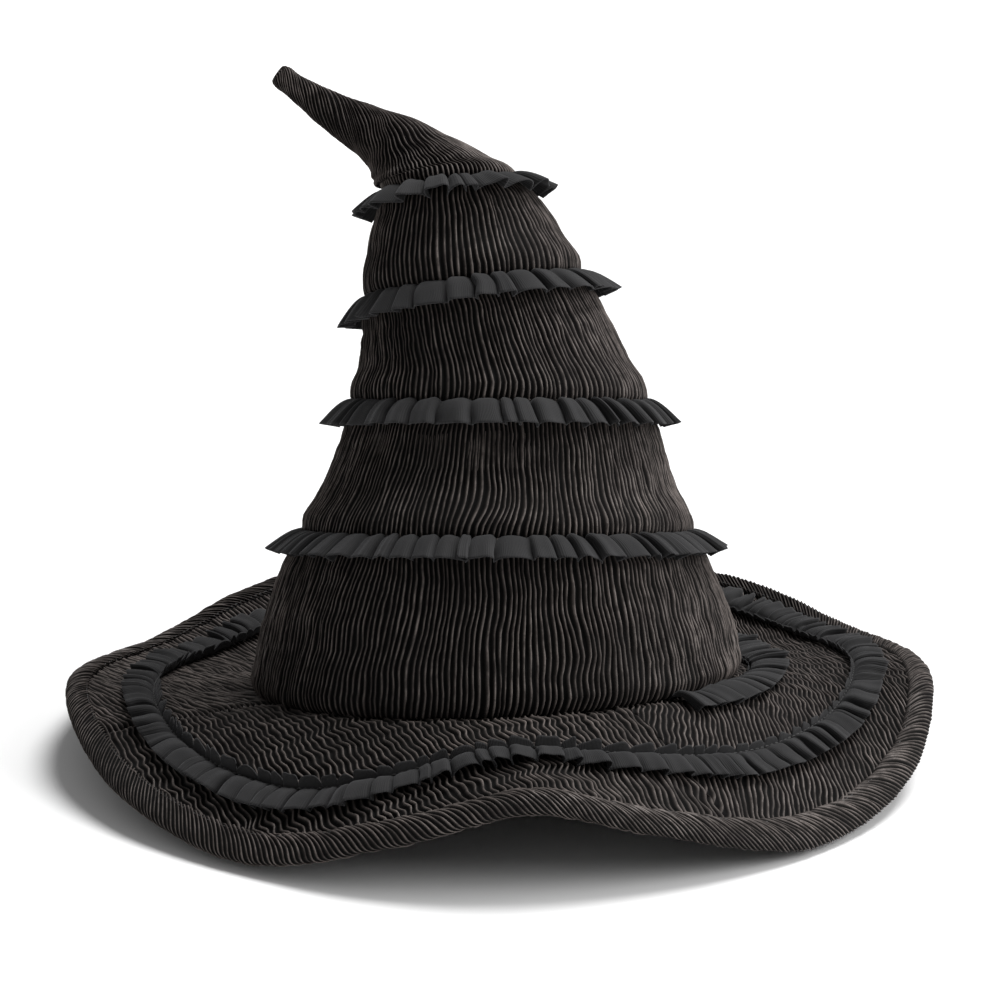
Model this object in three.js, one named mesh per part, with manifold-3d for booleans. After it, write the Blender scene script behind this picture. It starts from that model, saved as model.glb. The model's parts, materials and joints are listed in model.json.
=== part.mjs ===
// A tiered witch hat in crinkle-pleated cloth: a leaning crown with a bent horn, a wavy wired
// brim, four gathered ribbon ruffles round the crown and one long ruffle winding over the brim.
//
// Millimetres, +Z up, +X to the wearer's left hand as the hat is faced. The front faces -Y.
// The origin is the centre of the head opening, where the crown is sewn to the brim.
// Every piece is first drawn upright and round, with its radius as the half width across the
// hat and its height as the length along the crown's axis, and is then bent to its true shape.
import * as THREE from 'three';
import { mergeVertices } from 'three/addons/utils/BufferGeometryUtils.js';
import Module from 'manifold-3d';

const wasm = await Module();
wasm.setup();

// ---- driving dimensions -------------------------------------------------------------------

// the head opening, measured inside the sweatband
const headHalfWidth = 88;
const headLengthRatio = 1.08;

// cloth and stiffening, as thick as each lies
const pleatedCloth = 2;
const crownBuckram = 1.2;
const liningCloth = 0.8;
const sweatbandTape = 1.5;
const brimTopCloth = 1.6;
const brimBuckram = 0.8;
const brimUnderCloth = 1.2;
const bindingCloth = 1.2;
const seamGap = 0.35;
const brimLayerGap = 0.4;

// the sweatband stands up inside the crown
const sweatbandHeight = 27;

// the crown's foot puffs out over the brim before it turns under
const footPuff = 21;
const footRoll = 8;
const footRollDraw = 0.6;
const footRollMiddle = 0.45;
const footFoldDraw = 0.8;
const footFoldMiddle = 0.6;

// The crown's axis climbs seam by seam. Each row holds the step from the seam below it, the half
// width at its upper seam, the fullness of the cloth halfway up, and the way that seam's ring
// faces: tilt lifts the front edge and list drops the left edge, in degrees.
const footRing = { tilt: 10, list: 2.5 };
const tiers = [
  { step: [0.5, 9, 66.3], halfWidth: 86.5, fullness: 2.5, tilt: 14, list: 0 },
  { step: [1.3, 12, 55.8], halfWidth: 65, fullness: -2.5, tilt: 14, list: 0 },
  { step: [-11.4, 13, 48.7], halfWidth: 48, fullness: -1, tilt: 16.5, list: 7 },
  { step: [-9.7, 12, 41.4], halfWidth: 30.5, fullness: 1, tilt: 18, list: 6 },
];
const hornSteps = [
  { step: [-8.1, 2, 7], halfWidth: 25, fullness: 0, tilt: 18, list: 15 },
  { step: [-11, 2, 6.8], halfWidth: 17.5, fullness: 0, tilt: 17, list: 30 },
  { step: [-11, 3, 7.2], halfWidth: 12.7, fullness: 0, tilt: 15, list: 50 },
  { step: [-16, 2, 7.7], halfWidth: 9.2, fullness: 0, tilt: 12, list: 61 },
  { step: [-17, 2, 10.3], halfWidth: 6.1, fullness: 0, tilt: 10, list: 59 },
  { step: [-12.5, 1, 9], halfWidth: 4, fullness: 0, tilt: 8, list: 55 },
];
const hornTipRound = 2.5;
const tipShoulderWidth = 0.6;
const tipShoulderHeight = 0.8;

// The horn's cloth closes up, and its wadding stops, where the horn's half width comes down to
// this many thicknesses of cloth.
const hornClosesAt = 2.5;
const waddingStopsAt = 3.5;

// the lining closes this far below the seam where the horn starts
const liningHeadroom = 12;

// the joint in the horn: a ball this many times as wide as the horn is there
const tipBallRatio = 1.15;

// the brim, with its binding
const brimHalfWidth = 190;
const brimHalfLength = 193;
const brimShift = 1.6;
const brimFlatMargin = 3;
const brimDroop = 1.3;
const bindingWidth = 7;
const bindingRound = 0.6;
const wireDiameter = 1.8;

// The brim's edge rises and falls: angle anticlockwise from the wearer's left, and height.
const edgeWave = [
  [-172, 4], [-145, -11], [-122, -19], [-102, -2], [-86, 13], [-70, -1], [-48, -20],
  [-24, -13], [-3, 5], [30, -4], [57, 3], [90, -20], [122, 1.5], [150, -11],
];

// the brim's cover is pieced from equal panels
const panelCount = 3;
const firstPanelSeam = -60;

// gathered ribbon
const crownRuffleDrop = 18;
const crownRuffleRise = 1.5;
const crownRuffleStand = 8;
const ribbonHead = 1.5;
const ruffleClearance = 1.1;
const brimRuffleWidth = 18;
const brimRuffleStand = 6;

// The brim ruffle winds out from under the crown, round the back, the front and to the back
// again: angle along its way, and its place from 0, against the crown's foot, to 1, against
// the binding.
const brimRufflePath = [
  [-42, 0.03], [0, 0.06], [30, 0.14], [60, 0.24], [90, 0.4], [110, 0.6], [128, 0.75], [155, 0.75],
  [180, 0.74], [218, 0.8], [240, 0.83], [252, 0.81], [262, 0.61], [275, 0.58], [311, 0.65],
  [343, 0.75], [360, 0.81], [380, 0.83], [425, 0.83],
];

// how finely the round shapes are drawn
const crownSides = 28;
const brimSides = 48;
const tierRows = [4, 3, 3, 3];
const brimRows = 5;
const ruffleSteps = 120;
const ruffleStrips = 3;
const ballSides = 20;
const ballRows = 12;
const wireSides = 6;
const leastRow = 1;
const sameCorner = 1e-4;

// cutting shapes reach this many times past what they cut
const wellPast = 3;

// ---- sizes that follow ----------------------------------------------------------------------

const sweatbandOuter = headHalfWidth + sweatbandTape;
const liningInner = sweatbandOuter + seamGap;
const buckramInner = liningInner + liningCloth + seamGap;
const buckramOuter = buckramInner + crownBuckram;
const brimInner = sweatbandOuter + 2 * seamGap;
const footHalfWidth = headHalfWidth + footPuff;
const brimFlat = footHalfWidth + brimFlatMargin;

// brim layers, as drops below the plane of the head opening
const topFace = -seamGap;
const topBack = topFace - brimTopCloth;
const stiffFace = topBack - brimLayerGap;
const stiffBack = stiffFace - brimBuckram;
const underFace = stiffBack - brimLayerGap;
const underBack = underFace - brimUnderCloth;
const bindingInside = wireDiameter + 2 * seamGap;
const clothEdge = brimHalfWidth - bindingCloth - bindingInside;
const bindingStart = clothEdge - bindingWidth;
const brimStops = Array.from({ length: brimRows + 1 }, (_, k) => (
  THREE.MathUtils.lerp(brimFlat, bindingStart, k / brimRows)));

const stations = [{ at: [0, 0, 0], along: 0, halfWidth: footHalfWidth, fullness: 0, ...footRing }];
for (const row of [...tiers, ...hornSteps]) {
  const below = stations[stations.length - 1];
  const [dx, dy, dz] = row.step;
  stations.push({
    ...row,
    at: [below.at[0] + dx, below.at[1] + dy, below.at[2] + dz],
    along: below.along + Math.hypot(dx, dy, dz),
  });
}
const hornSeam = stations[tiers.length].along;
const hornEnd = stations[stations.length - 1].along;
const axisCurve = new THREE.CatmullRomCurve3(
  stations.map((s) => new THREE.Vector3(...s.at)), false, 'catmullrom', 0.5);
const facingCurve = new THREE.CatmullRomCurve3(
  stations.map((s) => new THREE.Vector3(s.tilt, s.list, 0)), false, 'catmullrom', 0.5);

// ---- bending the upright shapes ---------------------------------------------------------------

function stationAt(along) {
  const last = stations.length - 2;
  let i = 0;
  while (i < last && along > stations[i + 1].along) i += 1;
  const share = (along - stations[i].along) / (stations[i + 1].along - stations[i].along);
  return { i, share };
}

// the crown cloth's outer half width at a length along the axis
function crownHalfWidth(along) {
  const { i, share } = stationAt(along);
  const straight = THREE.MathUtils.lerp(stations[i].halfWidth, stations[i + 1].halfWidth, share);
  return straight + stations[i + 1].fullness * Math.sin(Math.PI * THREE.MathUtils.clamp(share, 0, 1));
}

// the crown's frame at a length along its axis: below the foot and past the horn it runs straight
function crownFrame(along) {
  const held = THREE.MathUtils.clamp(along, 0, hornEnd);
  const { i, share } = stationAt(held);
  const t = (i + share) / (stations.length - 1);
  const lean = facingCurve.getPoint(t);
  const turn = new THREE.Euler(
    -THREE.MathUtils.degToRad(lean.x), -THREE.MathUtils.degToRad(lean.y), 0, 'YXZ');
  const facing = new THREE.Quaternion().setFromEuler(turn);
  const normal = new THREE.Vector3(0, 0, 1).applyQuaternion(facing);
  const centre = axisCurve.getPoint(t).addScaledVector(normal, along - held);
  return { centre, facing, normal };
}

const openingNormal = crownFrame(0).normal;

// the opening is oval, front to back, and the crown grows round towards the horn
function sectionRatio(along) {
  const share = THREE.MathUtils.clamp(along / hornSeam, 0, 1);
  return THREE.MathUtils.lerp(headLengthRatio, 1, share);
}

function bendCrown(p) {
  const { centre, facing } = crownFrame(p.z);
  const flat = new THREE.Vector3(p.x, p.y * sectionRatio(p.z), 0);
  return flat.applyQuaternion(facing).add(centre);
}

function edgeHeight(degrees) {
  const count = edgeWave.length;
  const start = edgeWave[0][0];
  const at = (k) => edgeWave[((k % count) + count) % count][0] + 360 * Math.floor(k / count);
  const height = (k) => edgeWave[((k % count) + count) % count][1];
  const angle = THREE.MathUtils.euclideanModulo(degrees - start, 360) + start;
  let k = 0;
  while (angle >= at(k + 1)) k += 1;
  const span = at(k + 1) - at(k);
  const t = (angle - at(k)) / span;
  const slopeA = ((height(k + 1) - height(k - 1)) / (at(k + 1) - at(k - 1))) * span;
  const slopeB = ((height(k + 2) - height(k)) / (at(k + 2) - at(k))) * span;
  return (2 * t ** 3 - 3 * t ** 2 + 1) * height(k) + (t ** 3 - 2 * t ** 2 + t) * slopeA
    + (3 * t ** 2 - 2 * t ** 3) * height(k + 1) + (t ** 3 - t ** 2) * slopeB;
}

// The brim lies in the plane of the opening under the crown's foot, then rises and falls to its
// edge. p.z is the height above that surface, square to it under the foot and upright at the edge.
function bendBrim(p) {
  const around = Math.atan2(p.y, p.x);
  const reach = Math.hypot(p.x, p.y);
  const held = Math.min(reach, brimFlat);
  const inner = new THREE.Vector3(held * Math.cos(around), held * Math.sin(around), 0);
  const place = bendCrown(inner);
  const share = Math.max(0, (reach - brimFlat) / (brimHalfWidth - brimFlat));
  if (share > 0) {
    const edgeX = brimShift + brimHalfWidth * Math.cos(around);
    const edgeY = brimHalfLength * Math.sin(around);
    const edgeZ = edgeHeight(THREE.MathUtils.radToDeg(around));
    place.x += (edgeX - place.x) * share;
    place.y += (edgeY - place.y) * share;
    place.z += (edgeZ - place.z) * share ** brimDroop;
  }
  const up = openingNormal.clone().lerp(new THREE.Vector3(0, 0, 1), Math.min(share, 1));
  return place.addScaledVector(up, p.z);
}

// The place above the brim's own facets, so that what lies on them keeps its clearance. Each
// square of the brim is two facets, which meet along the line from its far side to its outer edge.
function bendOntoBrim(p) {
  const stops = [brimInner, ...brimStops, clothEdge];
  const side = (2 * Math.PI) / brimSides;
  const turns = Math.atan2(p.y, p.x) / side;
  const reach = Math.hypot(p.x, p.y);
  const i = Math.floor(turns);
  const outer = stops.findIndex((stop, k) => k > 0 && (reach <= stop || k === stops.length - 1));
  const j = outer - 1;
  const corner = (a, b) => {
    const angle = (i + a) * side;
    return bendBrim(new THREE.Vector3(stops[j + b] * Math.cos(angle), stops[j + b] * Math.sin(angle), p.z));
  };
  const across = turns - i;
  const away = (reach - stops[j]) / (stops[outer] - stops[j]);
  if (across + away <= 1) {
    const hub = corner(0, 0);
    const [toSide, toEdge] = [corner(1, 0).sub(hub), corner(0, 1).sub(hub)];
    return hub.addScaledVector(toSide, across).addScaledVector(toEdge, away);
  }
  const hub = corner(1, 1);
  const [toSide, toEdge] = [corner(0, 1).sub(hub), corner(1, 0).sub(hub)];
  return hub.addScaledVector(toSide, 1 - across).addScaledVector(toEdge, 1 - away);
}

// ---- making solids ------------------------------------------------------------------------------

function bend(geometry, rule) {
  const places = geometry.attributes.position;
  const p = new THREE.Vector3();
  for (let i = 0; i < places.count; i += 1) {
    p.fromBufferAttribute(places, i);
    const q = rule(p);
    places.setXYZ(i, q.x, q.y, q.z);
  }
  return facingOut(geometry);
}

function signedVolume(geometry) {
  const places = geometry.attributes.position;
  const order = geometry.index;
  const [a, b, c] = [new THREE.Vector3(), new THREE.Vector3(), new THREE.Vector3()];
  let volume = 0;
  for (let i = 0; i < order.count; i += 3) {
    a.fromBufferAttribute(places, order.getX(i));
    b.fromBufferAttribute(places, order.getX(i + 1));
    c.fromBufferAttribute(places, order.getX(i + 2));
    volume += a.dot(b.cross(c)) / 6;
  }
  return volume;
}

// merges shared corners and turns every face outwards
function facingOut(geometry) {
  const bare = new THREE.BufferGeometry();
  bare.setAttribute('position', geometry.attributes.position.clone());
  if (geometry.index) bare.setIndex(geometry.index.clone());
  const merged = mergeVertices(bare, sameCorner);
  if (signedVolume(merged) < 0) {
    const order = merged.index;
    for (let i = 0; i < order.count; i += 3) {
      const first = order.getX(i);
      order.setX(i, order.getX(i + 2));
      order.setX(i + 2, first);
    }
  }
  return merged;
}

// A profile of [half width, height] pairs, turned about the upright axis. Where the profile runs
// back, each quad is split along its other diagonal, so that the two faces of a wall bend alike.
function turned(profile, sides, runsBack) {
  const points = profile.map(([r, h]) => new THREE.Vector2(r, h));
  const lathe = new THREE.LatheGeometry(points, sides);
  const order = lathe.index;
  const perSide = points.length - 1;
  for (let quad = 0; quad < order.count / 6; quad += 1) {
    const j = quad % perSide;
    if (runsBack(points[j], points[j + 1])) {
      const first = order.getX(6 * quad);
      const third = order.getX(6 * quad + 3);
      order.setX(6 * quad + 2, third);
      order.setX(6 * quad + 5, first);
    }
  }
  return lathe.rotateX(Math.PI / 2);
}

function closedLoop(points) {
  return [...points, points[0]];
}

const crownPiece = (profile) => bend(turned(profile, crownSides, (p, q) => q.y < p.y), bendCrown);
const brimPiece = (profile) => bend(turned(profile, brimSides, (p, q) => q.x < p.x), bendBrim);

function toSolid(geometry) {
  return new wasm.Manifold(new wasm.Mesh({
    numProp: 3,
    vertProperties: Float32Array.from(geometry.attributes.position.array),
    triVerts: Uint32Array.from(geometry.index.array),
  }));
}

function toGeometry(solid) {
  const mesh = solid.getMesh();
  const geometry = new THREE.BufferGeometry();
  geometry.setAttribute('position', new THREE.BufferAttribute(mesh.vertProperties, 3));
  geometry.setIndex(new THREE.BufferAttribute(mesh.triVerts, 1));
  return geometry;
}

// ---- the crown ------------------------------------------------------------------------------------

// the rows that every crown layer shares, so that nested layers bend alike
const sharedRows = [0];
stations.slice(1).forEach((station, i) => {
  const rows = tierRows[i] ?? 1;
  const from = stations[i].along;
  for (let k = 1; k <= rows; k += 1) sharedRows.push(from + ((station.along - from) * k) / rows);
});
const rowsBetween = (low, high) => [
  low, ...sharedRows.filter((s) => s > low + leastRow && s < high - leastRow), high,
];

// an open-ended wall between two lengths along the axis
function wall(low, high, outer, thickness) {
  const rows = rowsBetween(low, high);
  const outside = rows.map((s) => [outer(s), s]);
  const inside = rows.map((s) => [outer(s) - thickness, s]).reverse();
  return closedLoop([...outside, ...inside]);
}

// the first tier, whose foot rolls under to the seam with the brim
function footTier() {
  const top = stations[1].along - seamGap / 2;
  const rows = rowsBetween(footRoll, top);
  const outside = rows.map((s) => [crownHalfWidth(s), s]);
  const inside = rows.map((s) => [crownHalfWidth(s) - pleatedCloth, s]).reverse();
  const turnIn = footHalfWidth - footRoll / 2;
  const seamIn = buckramOuter + seamGap;
  const under = [
    [seamIn, seamGap], [turnIn, seamGap], [footHalfWidth - footRollDraw, footRoll * footRollMiddle],
  ];
  const inFold = [
    [footHalfWidth - pleatedCloth - footFoldDraw, footRoll * footFoldMiddle],
    [turnIn - footFoldDraw, seamGap + pleatedCloth],
    [seamIn, seamGap + pleatedCloth],
  ];
  return crownPiece(closedLoop([...under, ...outside, ...inside, ...inFold]));
}

function upperTier(i) {
  const low = stations[i].along + seamGap / 2;
  const high = stations[i + 1].along - seamGap / 2;
  return crownPiece(wall(low, high, crownHalfWidth, pleatedCloth));
}

// the buckram runs straight up from the opening and meets the cloth at the first seam
function buckramHalfWidth(along) {
  const behind = (s) => crownHalfWidth(s) - pleatedCloth - seamGap;
  const firstSeam = stations[1].along;
  if (along >= firstSeam) return behind(along);
  return THREE.MathUtils.lerp(buckramOuter, behind(firstSeam), along / firstSeam);
}

const liningHalfWidth = (along) => buckramHalfWidth(along) - crownBuckram - seamGap;

function crownStiffener() {
  const top = hornSeam - seamGap;
  return crownPiece(wall(seamGap, top, buckramHalfWidth, crownBuckram));
}

// a cone of lining, open below and closed above
function crownLining() {
  const top = hornSeam - liningHeadroom;
  const rows = rowsBetween(seamGap, top);
  const outside = rows.map((s) => [liningHalfWidth(s), s]);
  const inside = rows.slice(0, -1).map((s) => [liningHalfWidth(s) - liningCloth, s]).reverse();
  const topInside = [liningHalfWidth(top) - liningCloth, top - liningCloth];
  return crownPiece([[0, top], ...outside.reverse(), ...inside.reverse(), topInside, [0, top - liningCloth]]);
}

// the sweatband lines the opening and reaches down past the brim, its lower edge a true plane
function sweatband() {
  const outer = (s) => liningHalfWidth(Math.max(s, 0)) - liningCloth - seamGap;
  return crownPiece(wall(underBack, underBack + sweatbandHeight, outer, sweatbandTape));
}

// ---- the horn and its joint ---------------------------------------------------------------------

const tipPivotAlong = (stations[tiers.length + 2].along + stations[tiers.length + 3].along) / 2;
const tipPivot = crownFrame(tipPivotAlong);
const tipBall = tipBallRatio * crownHalfWidth(tipPivotAlong);

function hornShell() {
  const rows = rowsBetween(hornSeam + seamGap / 2, hornEnd);
  const outside = rows.map((s) => [crownHalfWidth(s), s]);
  const closedFrom = rows.filter((s) => crownHalfWidth(s) > hornClosesAt * pleatedCloth);
  const inside = closedFrom.map((s) => [crownHalfWidth(s) - pleatedCloth, s]).reverse();
  const inEnd = closedFrom[closedFrom.length - 1] + pleatedCloth;
  const shoulder = [crownHalfWidth(hornEnd) * tipShoulderWidth, hornEnd + hornTipRound * tipShoulderHeight];
  return crownPiece([[0, inEnd], ...inside, ...outside, shoulder, [0, hornEnd + hornTipRound]]);
}

function hornWadding() {
  const low = hornSeam + seamGap;
  const stop = waddingStopsAt * pleatedCloth;
  const rows = rowsBetween(low, hornEnd).filter((s) => crownHalfWidth(s) > stop);
  const outside = rows.map((s) => [crownHalfWidth(s) - pleatedCloth - seamGap, s]);
  return crownPiece([[0, low], ...outside, [0, rows[rows.length - 1] + seamGap]]);
}

// splits a horn piece at the ball: the tip keeps what is inside the ball and all above it
function splitAtBall(geometry) {
  const reach = wellPast * hornEnd;
  const above = new THREE.BoxGeometry(reach, reach, reach).translate(0, 0, reach / 2);
  above.applyQuaternion(tipPivot.facing).translate(...tipPivot.centre.toArray());
  const ballOf = (radius) => {
    const ball = new THREE.SphereGeometry(radius, ballSides, ballRows);
    return toSolid(facingOut(ball.translate(...tipPivot.centre.toArray())));
  };
  const horn = toSolid(geometry);
  const upperHalf = toSolid(facingOut(above));
  const tip = horn.intersect(upperHalf.add(ballOf(tipBall - seamGap)));
  const stem = horn.subtract(upperHalf).subtract(ballOf(tipBall));
  return { tip: toGeometry(tip), stem: toGeometry(stem) };
}

// ---- ruffles ------------------------------------------------------------------------------------------

// a ribbon ruffle that hangs from a crown seam and stands away from the tier below
function crownRuffle(i) {
  const seam = stations[i].along;
  const low = seam - crownRuffleDrop;
  const high = seam + crownRuffleRise;
  const rows = rowsBetween(low, high);
  const inside = rows.map((s) => [crownHalfWidth(s) + ruffleClearance, s]);
  const stand = (s) => THREE.MathUtils.lerp(crownRuffleStand, ribbonHead, (s - low) / (high - low));
  const outside = rows.map((s) => [crownHalfWidth(s) + ruffleClearance + stand(s), s]).reverse();
  return crownPiece(closedLoop([...inside, ...outside]));
}

const ruffleRoom = brimRuffleWidth / 2 + ruffleClearance;
const ruffleInmost = footHalfWidth + ruffleRoom;
const ruffleOutmost = bindingStart - ruffleRoom;
const rufflePath = new THREE.CatmullRomCurve3(brimRufflePath.map(([angle, share]) => (
  new THREE.Vector3(angle, THREE.MathUtils.lerp(ruffleInmost, ruffleOutmost, share), 0))));

// one long ribbon laid over the brim along its winding path
function brimRuffle() {
  const strip = new THREE.BoxGeometry(
    1, brimRuffleWidth, brimRuffleStand, ruffleSteps, ruffleStrips, 1);
  strip.translate(0.5, 0, brimRuffleStand / 2 + topFace + ruffleClearance);
  return bend(strip, (p) => {
    const here = rufflePath.getPoint(THREE.MathUtils.clamp(p.x, 0, 1));
    const around = THREE.MathUtils.degToRad(here.x);
    const reach = here.y + p.y;
    return bendOntoBrim(new THREE.Vector3(reach * Math.cos(around), reach * Math.sin(around), p.z));
  });
}

// ---- the brim --------------------------------------------------------------------------------------------

// a layer of the brim between two faces, out to a given edge
function brimLayer(face, back, edge) {
  const stops = [brimInner, ...brimStops, edge];
  const upper = stops.map((r) => [r, face]);
  const lower = stops.map((r) => [r, back]).reverse();
  return brimPiece(closedLoop([...upper, ...lower]));
}

// cuts a cover layer into its panels, a seam gap apart
function panels(layer) {
  const whole = toSolid(layer);
  const span = 360 / panelCount;
  const far = wellPast * brimHalfWidth;
  return Array.from({ length: panelCount }, (_, k) => {
    const from = THREE.MathUtils.degToRad(firstPanelSeam + k * span);
    const to = THREE.MathUtils.degToRad(firstPanelSeam + (k + 1) * span);
    const middle = (from + to) / 2;
    const inset = seamGap / 2 / Math.sin((to - from) / 2);
    const corner = new THREE.Vector2(Math.cos(middle), Math.sin(middle)).multiplyScalar(inset);
    const reachTo = (angle) => new THREE.Vector2(Math.cos(angle), Math.sin(angle))
      .multiplyScalar(far).add(corner);
    const outline = new THREE.Shape([corner, reachTo(from), reachTo(middle), reachTo(to)]);
    const sector = new THREE.ExtrudeGeometry(outline, { depth: far, bevelEnabled: false });
    sector.translate(0, 0, -far / 2);
    return toGeometry(whole.intersect(toSolid(facingOut(sector))));
  });
}

// the bias binding folds round the edge and its wire
function brimBinding() {
  const inner = bindingStart;
  const face = topFace + brimLayerGap;
  const back = underBack - brimLayerGap;
  const fold = clothEdge + bindingInside;
  return brimPiece(closedLoop([
    [inner, face], [inner, face + bindingCloth], [clothEdge, face + bindingCloth],
    [brimHalfWidth, face - bindingRound], [brimHalfWidth, back + bindingRound],
    [clothEdge, back - bindingCloth], [inner, back - bindingCloth], [inner, back],
    [clothEdge, back], [fold, back + bindingRound], [fold, face - bindingRound], [clothEdge, face],
  ]));
}

function brimWire() {
  const middle = (topFace + underBack) / 2;
  const centre = clothEdge + seamGap + wireDiameter / 2;
  const corners = Array.from({ length: wireSides }, (_, k) => {
    const angle = (2 * Math.PI * k) / wireSides;
    return [centre + (wireDiameter / 2) * Math.cos(angle), middle + (wireDiameter / 2) * Math.sin(angle)];
  });
  return brimPiece(closedLoop(corners));
}

// ---- the hat -------------------------------------------------------------------------------------------

const blackPleats = { color: 0x1d1a19, roughness: 0.62, metalness: 0 };
const ribbon = { color: 0x2b2b2c, roughness: 0.85, metalness: 0 };
const stiffening = { color: 0x1c1c1c, roughness: 0.9, metalness: 0 };
const lining = { color: 0x151516, roughness: 0.5, metalness: 0 };
const wadding = { color: 0xd8d6d0, roughness: 1, metalness: 0 };
const steel = { color: 0x9a9a98, roughness: 0.35, metalness: 1 };

const hat = new THREE.Group();

function add(name, geometry, finish) {
  const mesh = new THREE.Mesh(geometry, new THREE.MeshStandardMaterial(finish));
  mesh.name = name;
  hat.add(mesh);
}

add('crown_tier_1', footTier(), blackPleats);
for (let i = 1; i < tiers.length; i += 1) add(`crown_tier_${i + 1}`, upperTier(i), blackPleats);
for (let i = 1; i <= tiers.length; i += 1) add(`crown_ruffle_${i}`, crownRuffle(i), ribbon);
add('crown_stiffener', crownStiffener(), stiffening);
add('crown_lining', crownLining(), lining);
add('sweatband', sweatband(), ribbon);

const horn = splitAtBall(hornShell());
const core = splitAtBall(hornWadding());
add('horn_stem', horn.stem, blackPleats);
add('horn_tip', horn.tip, blackPleats);
add('stem_wadding', core.stem, wadding);
add('tip_wadding', core.tip, wadding);

panels(brimLayer(topFace, topBack, clothEdge)).forEach((panel, k) => {
  add(`brim_top_panel_${k + 1}`, panel, blackPleats);
});
panels(brimLayer(underFace, underBack, clothEdge)).forEach((panel, k) => {
  add(`brim_under_panel_${k + 1}`, panel, blackPleats);
});
add('brim_stiffener', brimLayer(stiffFace, stiffBack, clothEdge - seamGap), stiffening);
add('brim_ruffle', brimRuffle(), ribbon);
add('brim_wire', brimWire(), steel);
add('brim_binding', brimBinding(), blackPleats);

export default hat;
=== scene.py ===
"""The looks of a tiered witch hat in crinkle-pleated black cloth, with gathered ribbon ruffles,
a bent horn and a wavy wired brim. Shapes are worked out in millimetres and made in metres."""
import json
import math

import bpy
import numpy as np
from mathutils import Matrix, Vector


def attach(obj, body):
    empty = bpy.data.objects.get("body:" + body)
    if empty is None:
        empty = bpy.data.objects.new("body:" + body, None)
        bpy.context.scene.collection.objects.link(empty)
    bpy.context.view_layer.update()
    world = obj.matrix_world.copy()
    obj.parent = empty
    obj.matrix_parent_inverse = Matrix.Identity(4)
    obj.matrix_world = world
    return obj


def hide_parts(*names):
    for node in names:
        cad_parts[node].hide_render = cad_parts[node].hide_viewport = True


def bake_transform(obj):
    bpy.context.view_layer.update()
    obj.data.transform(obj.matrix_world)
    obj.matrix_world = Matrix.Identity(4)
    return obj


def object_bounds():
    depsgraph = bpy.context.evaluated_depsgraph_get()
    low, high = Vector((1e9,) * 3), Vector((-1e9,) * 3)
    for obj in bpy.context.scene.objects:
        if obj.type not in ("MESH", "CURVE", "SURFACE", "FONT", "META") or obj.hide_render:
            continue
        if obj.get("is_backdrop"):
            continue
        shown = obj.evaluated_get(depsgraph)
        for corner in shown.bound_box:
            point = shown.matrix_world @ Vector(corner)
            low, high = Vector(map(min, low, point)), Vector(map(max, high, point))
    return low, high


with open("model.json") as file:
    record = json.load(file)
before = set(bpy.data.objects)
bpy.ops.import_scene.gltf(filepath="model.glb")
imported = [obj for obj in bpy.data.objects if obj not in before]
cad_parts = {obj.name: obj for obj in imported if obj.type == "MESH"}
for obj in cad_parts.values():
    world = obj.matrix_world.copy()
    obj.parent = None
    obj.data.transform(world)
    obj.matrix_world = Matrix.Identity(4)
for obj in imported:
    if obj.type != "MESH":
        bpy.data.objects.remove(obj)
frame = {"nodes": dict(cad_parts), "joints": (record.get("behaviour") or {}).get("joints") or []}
cad_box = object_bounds()

MM = 0.001

# ---- the hat's driving sizes, as cut and sewn (mm) -----------------------------------------------

HEAD_LENGTH_RATIO = 1.08
FOOT_HALF_WIDTH = 109
FOOT_ROLL = 8
FOOT_FACING = (10, 2.5)

# the crown's axis, seam by seam: step, half width above it, fullness, tilt, list
AXIS_STEPS = [
    ((0.5, 9, 66.3), 86.5, 2.5, 14, 0),
    ((1.3, 12, 55.8), 65, -2.5, 14, 0),
    ((-11.4, 13, 48.7), 48, -1, 16.5, 7),
    ((-9.7, 12, 41.4), 30.5, 1, 18, 6),
    ((-8.1, 2, 7), 25, 0, 18, 15),
    ((-11, 2, 6.8), 17.5, 0, 17, 30),
    ((-11, 3, 7.2), 12.7, 0, 15, 50),
    ((-16, 2, 7.7), 9.2, 0, 12, 61),
    ((-17, 2, 10.3), 6.1, 0, 10, 59),
    ((-12.5, 1, 9), 4, 0, 8, 55),
]
TIERS = 4

BRIM_HALF_WIDTH = 190
BRIM_HALF_LENGTH = 193
BRIM_SHIFT = 1.6
BRIM_FLAT = 112
BRIM_DROOP = 1.3
BRIM_UNDERSIDE = -4.75
CLOTH_EDGE = 186.3
BINDING_WIDTH = 7
EDGE_WAVE = [
    (-172, 4), (-145, -11), (-122, -19), (-102, -2), (-86, 13), (-70, -1), (-48, -20),
    (-24, -13), (-3, 5), (30, -4), (57, 3), (90, -20), (122, 1.5), (150, -11),
]

# the pleats
PLEAT = 2.6
BINDING_PLEAT = 2.45
COLUMNS_PER_PLEAT = 6

# ---- the hat's own shape ----------------------------------------------------------------------


def unit(v):
    return v / np.maximum(np.linalg.norm(v, axis=-1, keepdims=True), 1e-9)


def through(points, place):
    """A Catmull-Rom curve through points, at a place counted in points."""
    last = len(points) - 1
    i = np.clip(np.floor(place).astype(int), 0, last - 1)
    t = (place - i)[..., None]
    ends = np.vstack([2 * points[0] - points[1], points, 2 * points[-1] - points[-2]])
    a, b, c, d = ends[i], ends[i + 1], ends[i + 2], ends[i + 3]
    slope_b, slope_c = (c - a) / 2, (d - b) / 2
    return ((2 * b - 2 * c + slope_b + slope_c) * t ** 3
            + (3 * c - 3 * b - 2 * slope_b - slope_c) * t ** 2 + slope_b * t + b)


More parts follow.
